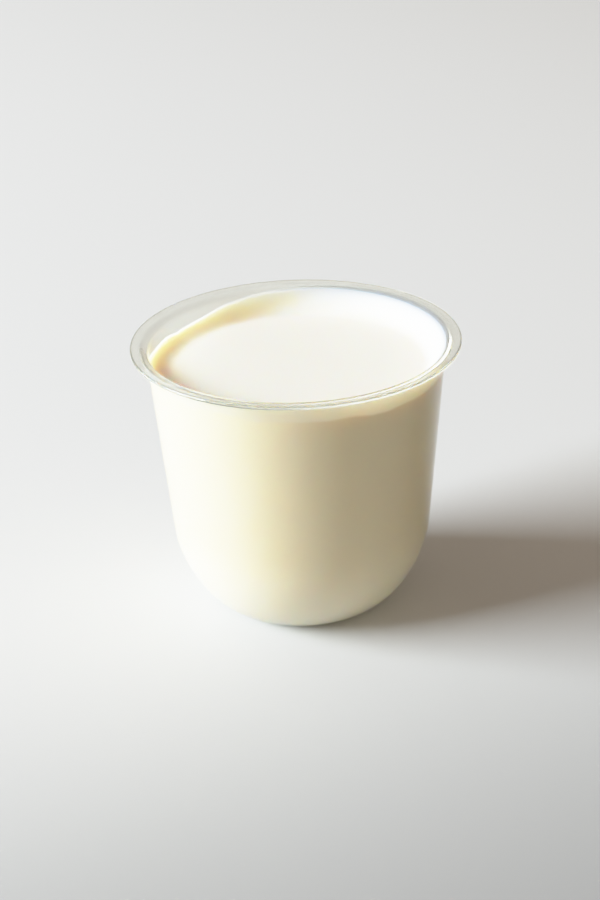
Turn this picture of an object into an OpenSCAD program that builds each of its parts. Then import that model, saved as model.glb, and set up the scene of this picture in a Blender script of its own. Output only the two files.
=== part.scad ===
// Filled yogurt pot: a clear, thin-walled round pot with a rounded foot and a flat sealing rim,
// and the set yogurt in it. Millimetres, +Z up. The origin is the centre of the flat base.
// Both pieces are turned round the Z axis. The yogurt takes its sides from the pot's inside.

/* [Rim] */
// Outside diameter of the sealing rim
rim_d = 76; // [74:0.5:92]
// Thickness of the rim
rim_t = 0.8; // [0.6:0.1:1.4]
// Radius of the rim's rounded outer edge
rim_edge_r = 0.35; // [0.1:0.05:0.4]
// Radius of the bend from the inside of the wall to the rim's top
mouth_bend_r = 1.8; // [1:0.1:2.4]
// Radius of the bend from the outside of the wall to the rim's underside
neck_bend_r = 2; // [1:0.1:2.4]

/* [Body] */
// Height of the pot, from the table to the rim's top
pot_h = 65.4; // [52:0.2:85]
// Outside diameter that the drafted wall reaches at the rim's top
neck_d = 69.2; // [62:0.2:70]
// Lean of the wall from upright, in degrees
wall_draft = 5.2; // [1:0.1:8]
// Thickness of the side wall
wall_t = 0.6; // [0.4:0.1:1.2]
// Thickness of the floor
floor_t = 0.7; // [0.4:0.1:1.5]

/* [Foot] */
// Diameter of the flat that the pot stands on
base_d = 33.4; // [24:0.2:44]
// Height of the rounded foot
foot_h = 19.6; // [12:0.2:28]
// Fullness of the foot's curve: 2 is a plain ellipse, and less cuts the corner more
foot_fullness = 1.85; // [1.6:0.05:2.6]

/* [Yogurt] */
// Depth of the middle of the yogurt's surface under the rim's top
fill_drop = 6.3; // [6:0.1:20]
// Height that the yogurt climbs above its surface at the wall
cling_h = 3.6; // [1:0.1:4.5]
// Width of the climbing edge
cling_w = 5; // [2:0.1:6]
// How much the climbing edge steepens towards the wall: 1 is a straight slope
cling_curve = 3; // [1.5:0.5:4]
// Lean of the yogurt's surface, in degrees
fill_tilt = 0.8; // [0:0.1:3]
// Direction in which the surface leans down, in degrees from +X towards +Y
tilt_dir = 155; // [-180:5:180]

/* [Hidden] */
$fn = 96;
foot_steps = 18;  // straight lengths that make up the foot's curve
bend_steps = 8;   // straight lengths that make up each bend at the rim
edge_steps = 4;   // straight lengths that make up a quarter of the rim's outer edge
cling_steps = 8;  // straight lengths that make up the yogurt's climbing edge
air_h = 2 * pot_h;  // height of the tool that clears the space above the yogurt
rim_r = rim_d / 2;
base_r = base_d / 2;
inside_t = wall_t / cos(wall_draft);  // the wall's thickness, measured level

// Radius of the drafted wall at height z, a level distance in from its outside
function wall_r(z, inset) = neck_d / 2 - inset - (pot_h - z) * tan(wall_draft);

// Points along an arc, for rounded corners
function arc(centre, r, from, to, steps) = [
    for (i = [0 : steps])
        let (a = from + (to - from) * i / steps)
        centre + r * [cos(a), sin(a)]
];

// Rounded foot from the flat base at height lift up to the wall, a level distance in from its outside
function foot(inset, lift) = [
    for (i = [0 : foot_steps])
        let (
            a = 90 * i / foot_steps,
            out = pow(sin(a), 2 / foot_fullness),
            z = lift + (foot_h - lift) * (1 - pow(cos(a), 2 / foot_fullness))
        )
        [base_r + (wall_r(z, inset) - base_r) * out, z]
];

// Bend that leaves the leaning wall smoothly and ends level at height top
function bend(inset, r, top) =
    let (centre_z = top - r, start_z = centre_z + r * sin(wall_draft))
    arc([wall_r(start_z, inset) + r * cos(wall_draft), centre_z], r, 180 - wall_draft, 90, bend_steps);

// Inside of the pot, from the middle of its floor up to the rim's top
inside = concat([[0, floor_t]], foot(inside_t, floor_t), bend(inside_t, mouth_bend_r, pot_h));

// Height at which the inside of the wall starts to bend out to the rim. The yogurt stays under it.
mouth_z = pot_h - mouth_bend_r * (1 - sin(wall_draft));
brimful = concat(
    [[0, floor_t]],
    foot(inside_t, floor_t),
    [[wall_r(mouth_z, inside_t), mouth_z], [0, mouth_z]]
);

// Outside of the pot, from the middle of its base up to the rim's underside
outside = concat([[0, 0]], foot(0, 0), bend(0, neck_bend_r, pot_h - rim_t));

// Rounded outer edge of the rim, from its underside to its top
rim_edge = concat(
    arc([rim_r - rim_edge_r, pot_h - rim_t + rim_edge_r], rim_edge_r, -90, 0, edge_steps),
    arc([rim_r - rim_edge_r, pot_h - rim_edge_r], rim_edge_r, 0, 90, edge_steps)
);

function reversed(points) = [for (i = [len(points) - 1 : -1 : 0]) points[i]];

// Clear pot, one thin wall from the base to the sealing rim
module cup() {
    color([0.86, 0.88, 0.84, 0.35])
        rotate_extrude()
            polygon(concat(outside, rim_edge, reversed(inside)));
}

// Space over the yogurt: level in the middle, rising along the yogurt's climbing edge to just past the
// wall's inside, and level again from there out to the rim
module air() {
    surface_z = pot_h - fill_drop;
    level_r = wall_r(surface_z + cling_h, inside_t) - cling_w;
    climb_end = 1 + wall_t / cling_w;
    climb = [
        for (i = [0 : cling_steps])
            let (t = climb_end * i / cling_steps)
            [level_r + cling_w * t, cling_h * pow(t, cling_curve)]
    ];
    outer = [[rim_r, climb[cling_steps][1]], [rim_r, air_h], [0, air_h]];
    translate([0, 0, surface_z])
        rotate([0, 0, tilt_dir])
            rotate([0, fill_tilt, 0])
                rotate_extrude()
                    polygon(concat([[0, 0]], climb, outer));
}

// Set yogurt, against the pot's inside all round
module yogurt() {
    color([0.96, 0.94, 0.88])
        difference() {
            rotate_extrude()
                polygon(brimful);
            air();
        }
}

cup();
yogurt();
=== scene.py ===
import math

import bpy
from mathutils import Matrix, Vector, noise


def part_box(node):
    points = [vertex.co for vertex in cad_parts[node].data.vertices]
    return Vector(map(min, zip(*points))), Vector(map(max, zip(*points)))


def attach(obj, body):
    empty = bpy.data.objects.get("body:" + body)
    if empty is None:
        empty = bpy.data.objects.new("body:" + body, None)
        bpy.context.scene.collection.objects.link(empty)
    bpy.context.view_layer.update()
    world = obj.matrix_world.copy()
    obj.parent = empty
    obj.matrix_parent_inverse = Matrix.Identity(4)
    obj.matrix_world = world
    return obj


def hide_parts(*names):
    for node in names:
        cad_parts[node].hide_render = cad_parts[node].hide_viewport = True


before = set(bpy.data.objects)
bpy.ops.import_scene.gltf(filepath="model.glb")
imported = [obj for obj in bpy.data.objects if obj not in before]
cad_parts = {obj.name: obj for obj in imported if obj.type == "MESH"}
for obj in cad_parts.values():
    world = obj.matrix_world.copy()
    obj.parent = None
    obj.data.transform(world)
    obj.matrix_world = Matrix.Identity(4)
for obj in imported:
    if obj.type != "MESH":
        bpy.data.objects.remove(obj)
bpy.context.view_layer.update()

MM = 0.001

# ---------------------------------------------------------------- sizes, in metres, as the CAD has them
CUP_LOW, CUP_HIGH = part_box("cup")
RIM_R = (CUP_HIGH.x - CUP_LOW.x) / 2
POT_H = CUP_HIGH.z
RIM_T = 0.8 * MM
RIM_EDGE_R = 0.35 * MM
MOUTH_BEND_R = 1.8 * MM
NECK_BEND_R = 2.0 * MM
NECK_R = 34.6 * MM
WALL_DRAFT = math.radians(5.2)
WALL_T = 0.6 * MM
FLOOR_T = 0.7 * MM
BASE_R = 16.7 * MM
FOOT_H = 19.6 * MM
FOOT_FULLNESS = 1.85
FILL_DROP = 6.3 * MM
CLING_W = 5.0 * MM
CLING_CURVE = 3.0
FILL_TILT = math.radians(0.8)
TILT_DIR = math.radians(155)
INSIDE_T = WALL_T / math.cos(WALL_DRAFT)
EMBED = 0.1 * MM  # how far the yogurt reaches into the wall, so that no air shows between them

# How finely the pieces are turned and swept
AROUND = 256
FOOT_STEPS = 48
BEND_STEPS = 14
EDGE_STEPS = 6
WALL_STEPS = 10
SIDE_STEPS = 24
CLIMB_STEPS = 28
LEVEL_STEPS = 30


# ---------------------------------------------------------------- the pot's outline, as (radius, height)
def wall_r(z, inset):
    """Radius of the leaning wall at height z, a level distance in from its outside."""
    return NECK_R - inset - (POT_H - z) * math.tan(WALL_DRAFT)


def arc(centre, r, start, end, steps):
    """Points on an arc between two angles in degrees."""
    turns = [math.radians(start + (end - start) * i / steps) for i in range(steps + 1)]
    return [(centre[0] + r * math.cos(a), centre[1] + r * math.sin(a)) for a in turns]


def foot(inset, lift):
    """The rounded foot, from the flat at height lift up to the wall."""
    points = []
    for i in range(FOOT_STEPS + 1):
        a = math.pi / 2 * i / FOOT_STEPS
        out = math.sin(a) ** (2 / FOOT_FULLNESS)
        z = lift + (FOOT_H - lift) * (1 - max(math.cos(a), 0) ** (2 / FOOT_FULLNESS))
        points.append((BASE_R + (wall_r(z, inset) - BASE_R) * out, z))
    return points


def bend(inset, r, top):
    """The bend from the wall to a level surface at height top."""
    draft = math.degrees(WALL_DRAFT)
    centre_z = top - r
    start_r = wall_r(centre_z + r * math.sin(WALL_DRAFT), inset)
    return arc((start_r + r * math.cos(WALL_DRAFT), centre_z), r, 180 - draft, 90, BEND_STEPS)


def between(a, b, steps):
    """The points that divide the line from a to b into equal steps, without its ends."""
    shares = [i / steps for i in range(1, steps)]
    return [(a[0] + (b[0] - a[0]) * s, a[1] + (b[1] - a[1]) * s) for s in shares]


def side(inset, lift, bend_r, top):
    """One face of the pot, from the flat's edge over the foot and up the wall to the end of the bend."""
    low, high = foot(inset, lift), bend(inset, bend_r, top)
    return low + between(low[-1], high[0], WALL_STEPS) + high


def pot_outline():
    """The pot's closed outline, from the middle of its base up the outside and down the inside."""
    edge_x = RIM_R - RIM_EDGE_R
    outside = side(0, 0, NECK_BEND_R, POT_H - RIM_T)
    inside = side(INSIDE_T, FLOOR_T, MOUTH_BEND_R, POT_H)
    rim = arc((edge_x, POT_H - RIM_T + RIM_EDGE_R), RIM_EDGE_R, -90, 0, EDGE_STEPS)
    rim += arc((edge_x, POT_H - RIM_EDGE_R), RIM_EDGE_R, 0, 90, EDGE_STEPS)
    return [(0, 0)] + outside + rim + inside[::-1] + [(0, FLOOR_T)]


# ---------------------------------------------------------------- mesh building
def ring_mesh(name, rings, materials, slot_of=None):
    """A closed mesh from rings of points. The first and the last ring are single points."""
    verts, starts = [], []
    for ring in rings:
        starts.append(len(verts))
        verts.extend(ring)
    faces, slots = [], []
    for k in range(len(rings) - 1):
        low, high = starts[k], starts[k + 1]
        for j in range(AROUND):
            n = (j + 1) % AROUND
            if len(rings[k]) == 1:
                face = (low, high + n, high + j)
            elif len(rings[k + 1]) == 1:
                face = (low + j, low + n, high)
            else:
                face = (low + j, low + n, high + n, high + j)
            faces.append(face)
            slots.append(slot_of(k) if slot_of else 0)
    mesh = bpy.data.meshes.new(name)
    mesh.from_pydata(verts, [], faces)
    for material in materials:
        mesh.materials.append(material)
    for polygon, slot in zip(mesh.polygons, slots):
        polygon.material_index = slot
        polygon.use_smooth = True
    mesh.validate()
    piece = bpy.data.objects.new(name, mesh)
    bpy.context.scene.collection.objects.link(piece)
    return piece


def turned_ring(r, z):
    """A level ring of radius r at height z, or the point where it meets the axis."""
    if r <= 0:
        return [(0, 0, z)]
    turns = [2 * math.pi * j / AROUND for j in range(AROUND)]
    return [(r * math.cos(a), r * math.sin(a), z) for a in turns]


# ---------------------------------------------------------------- the yogurt's surface
# The level part lies as the CAD has it, with a soft unevenness. The climbing edge differs from the CAD's.
# It is a thin film that follows the mouth's bend to just under the rim's top nearly all round, and it dips
# lower than the CAD's edge on one side.
SURFACE_Z = POT_H - FILL_DROP
HIGH_EDGE = 0.1 * MM          # how far under the rim's top the climbing edge ends where it is highest
LOW_EDGE = 4.5 * MM           # and where it is lowest
LOW_DIR = math.radians(155)   # the direction of the lowest place
LOW_WIDE = math.radians(46)   # at this angle from it, the edge has risen most of the way
THIN_SHARE = 0.2              # how much narrower the climbing edge is on its thin side
THIN_DIR = math.radians(200)  # the direction in which it is thinnest
THIN_WIDE = math.radians(65)  # at this angle from it, most of the thinning is gone
BROAD_WAVE = 30 * MM          # length and height of the broad waves on the level part
BROAD_HEIGHT = 0.28 * MM
FINE_WAVE = 11 * MM           # and of the fine ones
FINE_HEIGHT = 0.07 * MM
RIPPLE = 0.12 * MM            # unevenness of the climbing edge's slope
WIDTH_VARIES = 0.15           # how much the climbing edge's width varies round the pot
DEPTH_VARIES = 0.2            # how much its depth under the rim varies, in broad swells
DEPTH_RIPPLES = 0.1           # and in fine ones


def inside_r(z):
    """Radius of the pot's inside at height z, anywhere over its foot."""
    centre_z = POT_H - MOUTH_BEND_R
    start_z = centre_z + MOUTH_BEND_R * math.sin(WALL_DRAFT)
    if z <= start_z:
        return wall_r(z, INSIDE_T)
    centre_r = wall_r(start_z, INSIDE_T) + MOUTH_BEND_R * math.cos(WALL_DRAFT)
    return centre_r - math.sqrt(MOUTH_BEND_R ** 2 - (z - centre_z) ** 2)


def plane_z(x, y):
    """Height of the leaning plane that the middle of the surface follows."""
    along = x * math.cos(TILT_DIR) + y * math.sin(TILT_DIR)
    return SURFACE_Z - along * math.tan(FILL_TILT)


def waves(x, y):
    """Soft unevenness of the set surface. The added numbers only pick a place in the noise."""
    broad = noise.noise(Vector((x / BROAD_WAVE + 3.1, y / BROAD_WAVE - 1.7, 0.4)))
    fine = noise.noise(Vector((x / FINE_WAVE - 5.2, y / FINE_WAVE + 2.6, 1.9)))
    return BROAD_HEIGHT * broad + FINE_HEIGHT * fine


def ring_noise(a, turns, seed):
    """Unevenness round the pot, about -1 to 1, faster with more turns. The seed picks its place."""
    return noise.noise(Vector((turns * math.cos(a), turns * math.sin(a), seed)))


def near(a, middle, wide):
    """1 in the direction middle, fading on both sides to about a third at the angle wide from it."""
    away = math.remainder(a - middle, 2 * math.pi) / wide
    return math.exp(-away * away)


def contact_z(a):
    """Height at which the yogurt's climbing edge ends on the wall in direction a."""
    depth = HIGH_EDGE + (LOW_EDGE - HIGH_EDGE) * near(a, LOW_DIR, LOW_WIDE)
    swells = DEPTH_VARIES * ring_noise(a, 2.2, 7.3)
    ripples = DEPTH_RIPPLES * ring_noise(a, 8, 1.3)
    return POT_H - depth * (1 + swells + ripples)


def level_point(r, a):
    """Point of the level part of the surface, at the radius r in direction a."""
    x, y = r * math.cos(a), r * math.sin(a)
    return (x, y, plane_z(x, y) + waves(x, y))


def level_r(a):
    """Radius at which the climbing edge leaves the level part in direction a."""
    thinning = 1 - THIN_SHARE * near(a, THIN_DIR, THIN_WIDE)
    width = CLING_W * (1 + WIDTH_VARIES * ring_noise(a, 2.5, 4.1)) * thinning
    return inside_r(SURFACE_Z) + EMBED - width


def climbing_point(t, a):
    """Point of the climbing edge: t is 0 where it leaves the level part and 1 where it ends on the wall."""
    start_r = level_r(a)
    start_z = level_point(start_r, a)[2]
    ripple = RIPPLE * ring_noise(a, 14, 5.7) * 4 * t * (1 - t)
    z = start_z + (contact_z(a) - start_z) * t ** CLING_CURVE + ripple
    width = inside_r(SURFACE_Z) + EMBED - start_r
    r = inside_r(z) + EMBED - width * (1 - t)
    return (r * math.cos(a), r * math.sin(a), z)


def yogurt_rings():
    """The yogurt's rings, from the middle of its underside up its side and over its surface."""
    turns = [2 * math.pi * j / AROUND for j in range(AROUND)]
    low = foot(INSIDE_T - EMBED, FLOOR_T - EMBED)
    rings = [[(0, 0, FLOOR_T - EMBED)]]
    rings += [turned_ring(r, z) for r, z in low]
    start_z = low[-1][1]
    for i in range(1, SIDE_STEPS + 1):
        share = 1 - (1 - i / SIDE_STEPS) ** 2
        ring = []
        for a in turns:
            z = start_z + (contact_z(a) - start_z) * share
            r = inside_r(z) + EMBED
            ring.append((r * math.cos(a), r * math.sin(a), z))
        rings.append(ring)
    climb = [1 - i / CLIMB_STEPS for i in range(1, CLIMB_STEPS + 1)]
    rings += [[climbing_point(t, a) for a in turns] for t in climb]
    level = [1 - i / LEVEL_STEPS for i in range(1, LEVEL_STEPS)]
    rings += [[level_point(level_r(a) * share, a) for a in turns] for share in level]
    rings.append([level_point(0, 0)])
    return rings


# ---------------------------------------------------------------- materials
# Some light and shade is painted on and stays where it is when the lamps change: the crescent of deeper
# cream, the film under the rim, which is paler on the side away from the key light, the foot's paler cream,
# which is painted bounce light from the floor, the rim's dark edge line and the floor's darker front.
BODY_REACH = 4 * MM                  # how far light passes into the yogurt behind the plastic
SURFACE_REACH = 3.5 * MM             # and into its open surface
RIM_LINE_IN = RIM_R - 0.6 * MM       # where the painted dark line at the rim's outer edge begins, painted shade for the dark seen through the edge
RIM_LINE_OUT = RIM_R - 0.1 * MM      # and where it is full
CRESCENT_SHIFT = 8 * MM              # the crescent of painted shade has its centre this far off the axis, opposite LOW_DIR
CRESCENT_IN = 35.5 * MM              # distance from that centre at which the deeper cream begins
CRESCENT_OUT = 38.5 * MM             # and at which it is full
FOOT_BOUNCE_TOP = 26 * MM              # height at which the foot's paler cream, painted bounce light from the floor, has faded out
FILM_LEAN = 0.03                     # how much lower the film's edge lies towards +X, as a slope
FILM_WAVE = 2.5 * MM                 # how uneven the film's edge is
FILM_LOW = 60.8 * MM                 # with lean and waves added to the height, the film begins here
FILM_HIGH = 61.8 * MM                # and is full here
FILM_LIT_X = -12 * MM                # the film's painted shade is darker up to here
FILM_SHADED_X = 18 * MM              # and its painted light is paler from here on
FLOOR_LEAN = -0.35                   # the floor's painted shade follows Y plus this much of X
FLOOR_DARK = -0.19                   # it is darkest up to this value, in metres
FLOOR_PALE = 0.03                    # and palest from this one on


def node_material(name):
    """An empty node material, its node tree and its output."""
    material = bpy.data.materials.new(name)
    material.use_nodes = True
    tree = material.node_tree
    tree.nodes.clear()
    return material, tree, tree.nodes.new("ShaderNodeOutputMaterial")


def noise_node(tree, scale, detail=2.0):
    """Noise over the object's own coordinates, with about scale spots to the metre."""
    place = tree.nodes.new("ShaderNodeTexCoord")
    texture = tree.nodes.new("ShaderNodeTexNoise")
    texture.inputs["Scale"].default_value = scale
    texture.inputs["Detail"].default_value = detail
    tree.links.new(place.outputs["Object"], texture.inputs["Vector"])
    return texture.outputs["Fac"]


def ranged(tree, value, low, high):
    """value, from 0 to 1, spread from low to high."""
    spread = tree.nodes.new("ShaderNodeMapRange")
    spread.inputs["To Min"].default_value = low
    spread.inputs["To Max"].default_value = high
    tree.links.new(value, spread.inputs["Value"])
    return spread.outputs["Result"]


def blended(tree, share, first, second):
    """A colour from first to second by share."""
    mix = tree.nodes.new("ShaderNodeMix")
    mix.data_type = "RGBA"
    tree.links.new(share, mix.inputs["Factor"])
    mix.inputs["A"].default_value = (*first, 1)
    mix.inputs["B"].default_value = (*second, 1)
    return mix.outputs["Result"]


def bumped(tree, height, distance):
    """A normal from a height."""
    bump = tree.nodes.new("ShaderNodeBump")
    bump.inputs["Distance"].default_value = distance
    tree.links.new(height, bump.inputs["Height"])
    return bump.outputs["Normal"]


def place_parts(tree):
    """The object's own coordinates, as X, Y and Z outputs."""
    place = tree.nodes.new("ShaderNodeTexCoord")
    parts = tree.nodes.new("ShaderNodeSeparateXYZ")
    tree.links.new(place.outputs["Object"], parts.inputs["Vector"])
    return parts.outputs


def eased(tree, value, start, end):
    """0 where value is start and 1 where it is end, with soft ends."""
    ramp = tree.nodes.new("ShaderNodeMapRange")
    ramp.interpolation_type = "SMOOTHSTEP"
    ramp.inputs["From Min"].default_value = start
    ramp.inputs["From Max"].default_value = end
    tree.links.new(value, ramp.inputs["Value"])
    return ramp.outputs["Result"]


def mixed(tree, share, first, second):
    """first where share is 0 and second where it is 1; first and second are colour outputs."""
    mix = tree.nodes.new("ShaderNodeMix")
    mix.data_type = "RGBA"
    tree.links.new(share, mix.inputs["Factor"])
    tree.links.new(first, mix.inputs["A"])
    tree.links.new(second, mix.inputs["B"])
    return mix.outputs["Result"]


def flat_distance(tree, x, y):
    """Level distance of the shaded point from the upright line through x, y."""
    parts = place_parts(tree)
    across = tree.nodes.new("ShaderNodeCombineXYZ")
    tree.links.new(parts["X"], across.inputs["X"])
    tree.links.new(parts["Y"], across.inputs["Y"])
    distance = tree.nodes.new("ShaderNodeVectorMath")
    distance.operation = "DISTANCE"
    distance.inputs[1].default_value = (x, y, 0)
    tree.links.new(across.outputs["Vector"], distance.inputs[0])
    return distance.outputs["Value"]


def times_plus(tree, value, factor, other):
    """value * factor + other."""
    node = tree.nodes.new("ShaderNodeMath")
    node.operation = "MULTIPLY_ADD"
    node.inputs[1].default_value = factor
    tree.links.new(value, node.inputs[0])
    tree.links.new(other, node.inputs[2])
    return node.outputs[0]


def clear_plastic():
    """Clear moulded plastic: slightly wavy, faintly grey-green, with painted shade as a dark line at the
    rim's edge, open to lamps.
    """
    material, tree, output = node_material("clear_plastic")
    glass = tree.nodes.new("ShaderNodeBsdfPrincipled")
    grain = noise_node(tree, 60)
    sheet = blended(tree, grain, (0.875, 0.88, 0.835), (0.885, 0.89, 0.85))
    # painted shade: the rim's outer edge is coloured darker, standing in for the dark seen through the edge
    edge = blended(tree, grain, (0.50, 0.51, 0.46), (0.54, 0.55, 0.50))
    painted_rim_shade_share = eased(tree, flat_distance(tree, 0, 0), RIM_LINE_IN, RIM_LINE_OUT)
    tree.links.new(mixed(tree, painted_rim_shade_share, sheet, edge), glass.inputs["Base Color"])
    glass.inputs["Transmission Weight"].default_value = 0.88
    glass.inputs["IOR"].default_value = 1.5
    tree.links.new(ranged(tree, noise_node(tree, 260), 0.03, 0.10), glass.inputs["Roughness"])
    tree.links.new(bumped(tree, noise_node(tree, 140, 1), 0.05 * MM), glass.inputs["Normal"])
    clear = tree.nodes.new("ShaderNodeBsdfTransparent")
    clear.inputs["Color"].default_value = (0.94, 0.95, 0.93, 1)
    path = tree.nodes.new("ShaderNodeLightPath")
    mix = tree.nodes.new("ShaderNodeMixShader")
    tree.links.new(path.outputs["Is Shadow Ray"], mix.inputs["Fac"])
    tree.links.new(glass.outputs[0], mix.inputs[1])
    tree.links.new(clear.outputs[0], mix.inputs[2])
    tree.links.new(mix.outputs[0], output.inputs["Surface"])
    return material


def yogurt(name, colour_of, reach, gloss):
    """Set yogurt: light passes a few millimetres into it, and its shade side goes warm."""
    material, tree, output = node_material(name)
    body = tree.nodes.new("ShaderNodeBsdfPrincipled")
    tree.links.new(colour_of(tree), body.inputs["Base Color"])
    body.inputs["Subsurface Weight"].default_value = 1
    body.inputs["Subsurface Radius"].default_value = (1.0, 0.75, 0.45)
    body.inputs["Subsurface Scale"].default_value = reach
    body.inputs["IOR"].default_value = 1.4
    body.inputs["Specular IOR Level"].default_value = gloss
    tree.links.new(ranged(tree, noise_node(tree, 700), 0.42, 0.6), body.inputs["Roughness"])
    tree.links.new(bumped(tree, noise_node(tree, 900, 4), 0.03 * MM), body.inputs["Normal"])
    tree.links.new(body.outputs[0], output.inputs["Surface"])
    return material


def body_colour(tree):
    """Cream seen through the pot: paler in the foot as painted bounce light, and in the film painted light
    and shade that goes from greyer to paler along X.
    """
    grain = noise_node(tree, 90, 3)
    # painted light: the foot's paler cream stands in for light bounced up from the lit floor
    foot_painted_bounce = blended(tree, grain, (0.885, 0.85, 0.735), (0.905, 0.87, 0.76))
    wall_cream = blended(tree, grain, (0.715, 0.64, 0.47), (0.735, 0.665, 0.50))
    # painted light and shade: lit and shaded copies of the film's cream, greyer on the key light's side and
    # paler away from it
    lit_film = blended(tree, grain, (0.66, 0.61, 0.50), (0.68, 0.63, 0.525))
    shaded_film = blended(tree, grain, (0.85, 0.825, 0.745), (0.87, 0.845, 0.775))
    parts = place_parts(tree)
    film_cream = mixed(tree, eased(tree, parts["X"], FILM_LIT_X, FILM_SHADED_X), lit_film, shaded_film)
    wall = mixed(tree, eased(tree, parts["Z"], 0, FOOT_BOUNCE_TOP), foot_painted_bounce, wall_cream)
    level = times_plus(tree, parts["X"], FILM_LEAN, parts["Z"])
    level = times_plus(tree, noise_node(tree, 110, 1), FILM_WAVE, level)
    return mixed(tree, eased(tree, level, FILM_LOW, FILM_HIGH), wall, film_cream)


def surface_colour(tree):
    """Pale cream on top, and a deeper cream painted as shade in the crescent at the low side of the edge.
    """
    grain = noise_node(tree, 90, 3)
    top_cream = blended(tree, grain, (0.996, 0.875, 0.77), (0.999, 0.89, 0.79))
    # painted shade: the crescent's deeper cream stands in for the shade on the low side of the climbing
    # edge
    crescent_painted_shade = blended(tree, grain, (0.795, 0.74, 0.575), (0.815, 0.76, 0.60))
    centre = (-CRESCENT_SHIFT * math.cos(LOW_DIR), -CRESCENT_SHIFT * math.sin(LOW_DIR))
    outward = flat_distance(tree, *centre)
    return mixed(tree, eased(tree, outward, CRESCENT_IN, CRESCENT_OUT), top_cream, crescent_painted_shade)


def floor_paint():
    """Pale matt studio floor, with painted shade making it darker towards the front and the right of the
    picture, where the key light falls off.
    """
    material, tree, output = node_material("studio_floor")
    paint = tree.nodes.new("ShaderNodeBsdfPrincipled")
    parts = place_parts(tree)
    lean = times_plus(tree, parts["X"], FLOOR_LEAN, parts["Y"])
    grain = noise_node(tree, 3)
    # painted shade: the darker front and right stand in for the key light falling off across the floor
    front_painted_shade = blended(tree, grain, (0.357, 0.361, 0.365), (0.367, 0.371, 0.375))
    far_paint = blended(tree, grain, (0.73, 0.738, 0.745), (0.745, 0.752, 0.76))
    share = eased(tree, lean, FLOOR_DARK, FLOOR_PALE)
    tree.links.new(mixed(tree, share, front_painted_shade, far_paint), paint.inputs["Base Color"])
    paint.inputs["Roughness"].default_value = 0.7
    paint.inputs["Specular IOR Level"].default_value = 0.2
    tree.links.new(paint.outputs[0], output.inputs["Surface"])
    return material


# ---------------------------------------------------------------- the two pieces
def make_pot():
    """The clear pot, in place of the CAD's cup."""
    rings = [turned_ring(r, z) for r, z in pot_outline()]
    pot = ring_mesh("pot_shell", rings, [clear_plastic()])
    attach(pot, "root")
    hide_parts("cup")


def make_yogurt():
    """The filling, in place of the CAD's yogurt, with one skin behind the plastic and one on top."""
    rings = yogurt_rings()
    top_from = FOOT_STEPS + 1 + SIDE_STEPS
    skins = [
        yogurt("yogurt_body", body_colour, BODY_REACH, 0.0),
        yogurt("yogurt_surface", surface_colour, SURFACE_REACH, 0.5),
    ]
    filling = ring_mesh("yogurt_fill", rings, skins, lambda k: int(k > top_from))
    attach(filling, "root")
    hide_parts("yogurt")


# ---------------------------------------------------------------- studio
FLOOR_HALF = 4.0
KEY_TURN = math.radians(187)   # direction that the key light comes from, from +X towards +Y
KEY_RISE = math.radians(28)
KEY_FAR = 2.4
KEY_WIDE = 1.5
KEY_TALL = 0.92
KEY_WATTS = 114
KEY_COLOUR = (0.93, 1.0, 1.04)
FILL_TURN = math.radians(-68)  # and the fill light, which softens the shade side
FILL_RISE = math.radians(5)
FILL_FAR = 1.5
FILL_WIDE = 1.1
FILL_TALL = 0.24
FILL_WATTS = 3.3
FILL_COLOUR = (1.0, 0.93, 0.74)
GLOW_LOW = 0.05                # sine of the angle up to which the horizon's glow is full
GLOW_TOP = 0.6                 # and of the angle at which it has faded out
HORIZON = (0.62, 0.54, 0.42)
ZENITH = (0.29, 0.235, 0.19)


def make_floor():
    """The studio floor, which belongs to the picture and not to the part."""
    mesh = bpy.data.meshes.new("studio_floor")
    corners = [(-1, -1), (1, -1), (1, 1), (-1, 1)]
    mesh.from_pydata([(x * FLOOR_HALF, y * FLOOR_HALF, 0) for x, y in corners], [], [(0, 1, 2, 3)])
    mesh.materials.append(floor_paint())
    floor = bpy.data.objects.new("studio_floor", mesh)
    bpy.context.scene.collection.objects.link(floor)


def make_lamp(name, turn, rise, far, size, watts, colour):
    """A rectangular area light that looks at the pot from a direction."""
    lamp = bpy.data.lights.new(name, "AREA")
    lamp.shape = "RECTANGLE"
    lamp.size, lamp.size_y = size
    lamp.energy = watts
    lamp.color = colour
    light = bpy.data.objects.new(name, lamp)
    level = math.cos(rise)
    way = Vector((level * math.cos(turn), level * math.sin(turn), math.sin(rise)))
    light.location = way * far
    light.rotation_mode = "QUATERNION"
    light.rotation_quaternion = way.to_track_quat("Z", "Y")
    bpy.context.scene.collection.objects.link(light)


def make_lamps():
    """The key light and the weak, low fill light."""
    key_size = (KEY_WIDE, KEY_TALL)
    fill_size = (FILL_WIDE, FILL_TALL)
    make_lamp("key", KEY_TURN, KEY_RISE, KEY_FAR, key_size, KEY_WATTS, KEY_COLOUR)
    make_lamp("fill", FILL_TURN, FILL_RISE, FILL_FAR, fill_size, FILL_WATTS, FILL_COLOUR)


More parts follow.
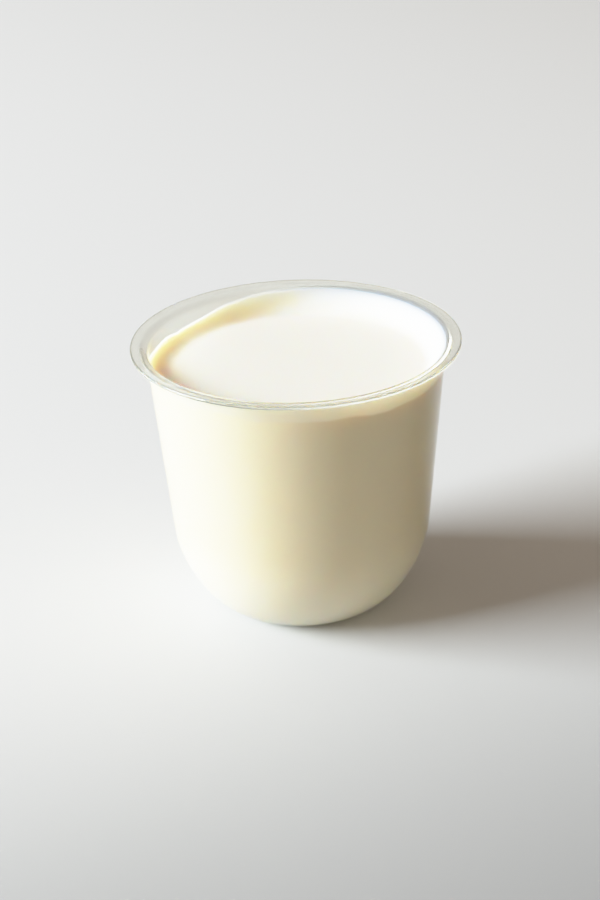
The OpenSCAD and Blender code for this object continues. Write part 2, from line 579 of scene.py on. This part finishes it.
def make_world():
    """Plain surroundings: a warm glow near the horizon that thins out towards the top."""
    world = bpy.data.worlds.new("studio_air")
    world.use_nodes = True
    tree = world.node_tree
    place = tree.nodes.new("ShaderNodeTexCoord")
    parts = tree.nodes.new("ShaderNodeSeparateXYZ")
    tree.links.new(place.outputs["Generated"], parts.inputs["Vector"])
    rise = eased(tree, parts.outputs["Z"], GLOW_LOW, GLOW_TOP)
    sky = tree.nodes["Background"]
    tree.links.new(blended(tree, rise, HORIZON, ZENITH), sky.inputs["Color"])
    sky.inputs["Strength"].default_value = 1
    bpy.context.scene.world = world


# The camera looks down at the pot from the front, a little rolled
CAMERA_PITCH = math.radians(25.79)
CAMERA_ROLL = math.radians(-2.04)
CAMERA_FAR = 12.382 * RIM_R
LOOK_Z = 0.9754 * RIM_R
LENS = 80
CAMERA_X = 0.1 * MM


def make_camera():
    """The camera, aimed at the height LOOK_Z close to the pot's axis."""
    data = bpy.data.cameras.new("camera")
    data.lens = LENS
    data.sensor_width = 36
    data.clip_start = 0.01
    data.clip_end = 50
    camera = bpy.data.objects.new("camera", data)
    rise, level = math.sin(CAMERA_PITCH), math.cos(CAMERA_PITCH)
    camera.location = (CAMERA_X, -CAMERA_FAR * level, LOOK_Z + CAMERA_FAR * rise)
    turn = Matrix.Rotation(math.pi / 2 - CAMERA_PITCH, 4, "X") @ Matrix.Rotation(CAMERA_ROLL, 4, "Z")
    camera.rotation_euler = turn.to_euler()
    bpy.context.scene.collection.objects.link(camera)
    bpy.context.scene.camera = camera


# How the picture takes highlights: straight up to SHOULDER, then bending over towards white
SHOULDER = 0.68
BRIGHTEST = 4.0
CURVE_POINTS = 24


def film_response(light):
    """Brightness shown for an amount of light."""
    if light <= SHOULDER:
        return light
    room = 1 - SHOULDER
    return SHOULDER + room * (1 - math.exp((SHOULDER - light) / room))


def set_film():
    """Sets that response as the picture's brightness curve."""
    view = bpy.context.scene.view_settings
    view.view_transform = "Standard"
    view.use_curve_mapping = True
    mapping = view.curve_mapping
    mapping.white_level = (BRIGHTEST,) * 3
    curve = mapping.curves[3]
    curve.points[0].location = (0, 0)
    curve.points[1].location = (1, film_response(BRIGHTEST))
    for i in range(CURVE_POINTS):
        light = SHOULDER + (BRIGHTEST - SHOULDER) * (i / CURVE_POINTS) ** 2
        curve.points.new(light / BRIGHTEST, film_response(light))
    for point in curve.points:
        point.handle_type = "VECTOR"
    mapping.update()


make_pot()
make_yogurt()
make_floor()
make_lamps()
make_world()
make_camera()
set_film()
